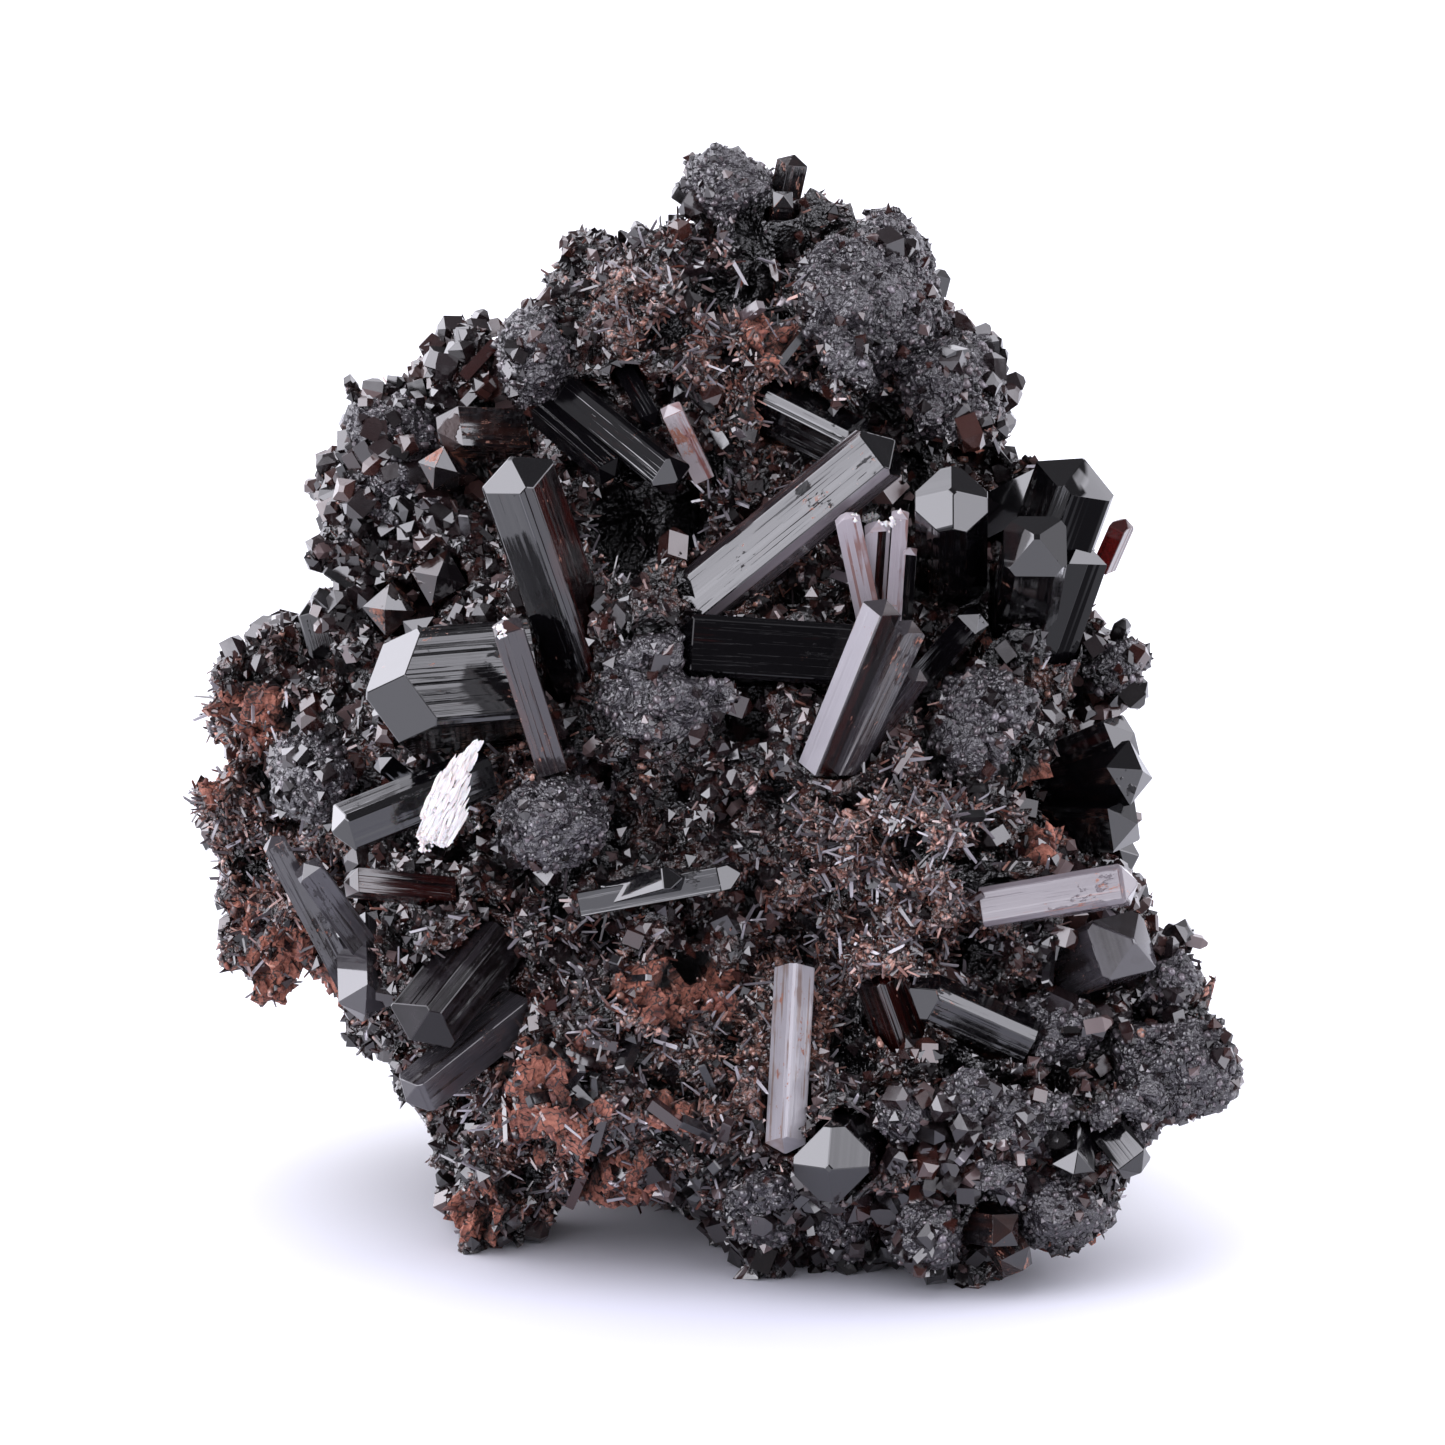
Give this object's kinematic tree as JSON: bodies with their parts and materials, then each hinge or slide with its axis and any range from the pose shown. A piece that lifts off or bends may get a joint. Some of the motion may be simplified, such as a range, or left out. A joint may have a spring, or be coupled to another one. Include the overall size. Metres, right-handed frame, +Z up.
{
  "type": "manganvesuvianite specimen",
  "caption": "Cabinet mineral specimen: lustrous black square prisms of manganvesuvianite standing in a rough matrix of dark drusy balls, needles and brown clay.",
  "frame": {"origin": "on the resting plane under the middle of the specimen's bounding box", "axes": "+Z up; the side with the large prisms, seen in the picture, faces -Y; +X is to the right as that side is seen"},
  "size_m": [0.048, 0.0422, 0.0476],
  "materials": {
    "matrix_rock": "rough dark rock with fine needles and red-brown earthy clay",
    "vesuvianite": "nearly black, vitreous, striated along the prism, with dark red in thin places",
    "red_vesuvianite": "thin shard that lets deep red light through",
    "calcite": "white fibrous splinter, softly lustrous"
  },
  "bodies": {
    "root": {"matrix": "matrix_rock", "long_prism": "vesuvianite", "upper_left_prism": "vesuvianite", "stout_left_prism": "vesuvianite", "leaning_left_prism": "vesuvianite", "near_prism_left": "vesuvianite", "right_top_prisms": "vesuvianite", "red_shard": "red_vesuvianite", "twin_prisms": "vesuvianite", "upright_blades": "vesuvianite", "upper_dark_prism": "vesuvianite", "striated_fan": "vesuvianite", "pink_prism": "vesuvianite", "buried_prism": "vesuvianite", "lower_left_prism": "vesuvianite", "crossing_prism": "vesuvianite", "dark_red_prism": "vesuvianite", "left_edge_prisms": "vesuvianite", "lower_left_stout": "vesuvianite", "lower_left_bar": "vesuvianite", "lying_prisms": "vesuvianite", "vertical_bar": "vesuvianite", "near_blunt_prism": "vesuvianite", "leaning_red_prism": "vesuvianite", "grey_slab": "vesuvianite", "right_striated_prism": "vesuvianite", "right_blunt_prism": "vesuvianite", "right_edge_prisms": "vesuvianite", "right_low_prism": "vesuvianite", "lower_right_prisms": "vesuvianite", "bottom_prisms": "vesuvianite", "left_wall_prism": "vesuvianite", "left_wall_cluster": "vesuvianite", "far_left_prism": "vesuvianite", "centre_right_prism": "vesuvianite", "summit_prisms": "vesuvianite", "back_tall_prism": "vesuvianite", "back_cross_prism": "vesuvianite", "back_low_prisms": "vesuvianite", "back_upper_prisms": "vesuvianite", "back_left_prism": "vesuvianite", "back_right_prism": "vesuvianite", "back_right_low_prism": "vesuvianite", "calcite_splinter": "calcite"}
  },
  "joints": []
}
